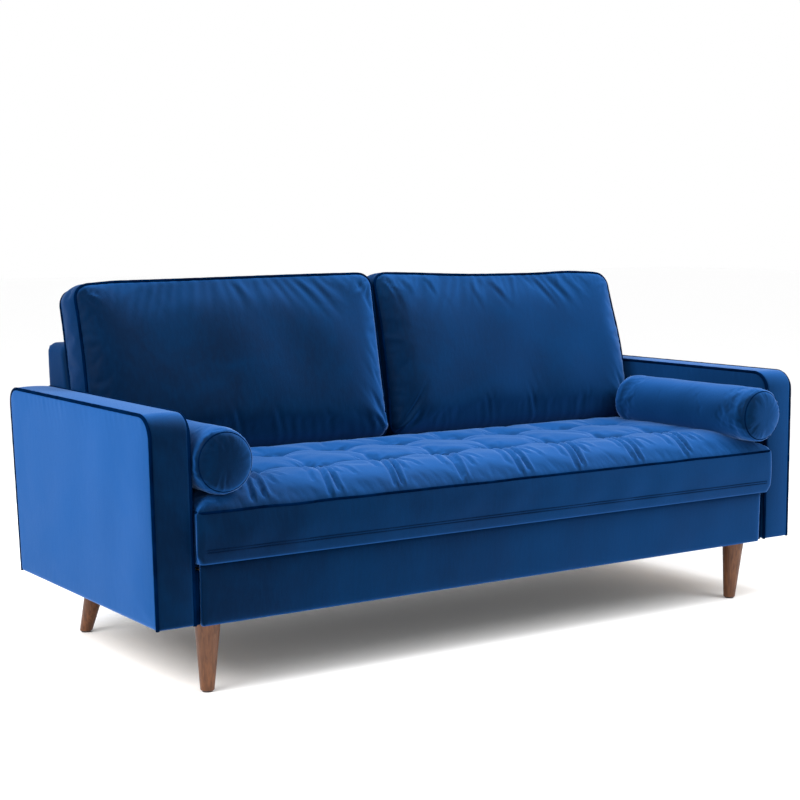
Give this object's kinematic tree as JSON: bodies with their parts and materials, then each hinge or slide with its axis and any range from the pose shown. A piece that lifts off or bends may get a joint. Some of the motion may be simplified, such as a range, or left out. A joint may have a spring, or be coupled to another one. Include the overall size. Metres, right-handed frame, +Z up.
{
  "type": "sofa with wooden legs",
  "caption": "Long velvet sofa: box arms, tufted bench cushion, loose back cushions, round bolsters and splayed turned wooden legs.",
  "frame": {"origin": "on the floor, at the middle of the sofa's footprint", "axes": "+Z up, +X to the right seen from the front, the front faces -Y"},
  "size_m": [1.97, 0.8666, 0.8987],
  "materials": {
    "velvet": "royal blue cut velvet, short pile",
    "stained_wood": "walnut-stained hardwood, satin",
    "pine": "bare sawn softwood",
    "foam": "open-cell foam",
    "black_cloth": "thin black non-woven cloth",
    "webbing": "woven elastic webbing",
    "steel": "zinc-plated steel",
    "nylon": "moulded nylon"
  },
  "bodies": {
    "frame": {"arm_cover_left": "velvet", "arm_top_rail_left": "pine", "arm_front_post_left": "pine", "arm_rear_post_left": "pine", "arm_bottom_rail_left": "pine", "arm_core_left": "foam", "arm_cover_right": "velvet", "arm_top_rail_right": "pine", "arm_front_post_right": "pine", "arm_rear_post_right": "pine", "arm_bottom_rail_right": "pine", "arm_core_right": "foam", "back_cover": "velvet", "back_top_rail": "pine", "back_post_left": "pine", "back_post_centre": "pine", "back_post_right": "pine", "back_foam_left": "foam", "back_foam_right": "foam", "front_rail": "pine", "rear_rail": "pine", "end_rail_left": "pine", "end_rail_right": "pine", "centre_rail": "pine", "front_rail_cover": "velvet", "seat_deck": "black_cloth", "dust_cover": "black_cloth", "webbing_strap_1": "webbing", "webbing_strap_2": "webbing", "webbing_strap_3": "webbing", "webbing_strap_4": "webbing", "webbing_strap_5": "webbing", "webbing_strap_6": "webbing", "leg_front_left": "stained_wood", "glide_front_left": "nylon", "leg_bolt_front_left": "steel", "leg_plate_front_left": "steel", "corner_block_front_left": "pine", "leg_front_right": "stained_wood", "glide_front_right": "nylon", "leg_bolt_front_right": "steel", "leg_plate_front_right": "steel", "corner_block_front_right": "pine", "leg_rear_left": "stained_wood", "glide_rear_left": "nylon", "leg_bolt_rear_left": "steel", "leg_plate_rear_left": "steel", "corner_block_rear_left": "pine", "leg_rear_right": "stained_wood", "glide_rear_right": "nylon", "leg_bolt_rear_right": "steel", "leg_plate_rear_right": "steel", "corner_block_rear_right": "pine"},
    "seat_cushion": {"seat_cushion": "velvet"},
    "back_cushion_left": {"back_cushion_left": "velvet"},
    "back_cushion_right": {"back_cushion_right": "velvet"},
    "bolster_left": {"bolster_left": "velvet"},
    "bolster_right": {"bolster_right": "velvet"}
  },
  "joints": [
    {"name": "seat_cushion_lift", "type": "slide", "parent": "frame", "child": "seat_cushion", "axis": [0, 0, 1], "range_m": [0, 0.36]},
    {"name": "back_cushion_left_lift", "type": "slide", "parent": "seat_cushion", "child": "back_cushion_left", "axis": [0, 0, 1], "range_m": [0, 0.32]},
    {"name": "back_cushion_right_lift", "type": "slide", "parent": "seat_cushion", "child": "back_cushion_right", "axis": [0, 0, 1], "range_m": [0, 0.32]},
    {"name": "bolster_left_lift", "type": "slide", "parent": "seat_cushion", "child": "bolster_left", "axis": [0, 0, 1], "range_m": [0, 0.22]},
    {"name": "bolster_right_lift", "type": "slide", "parent": "seat_cushion", "child": "bolster_right", "axis": [0, 0, 1], "range_m": [0, 0.22]}
  ]
}
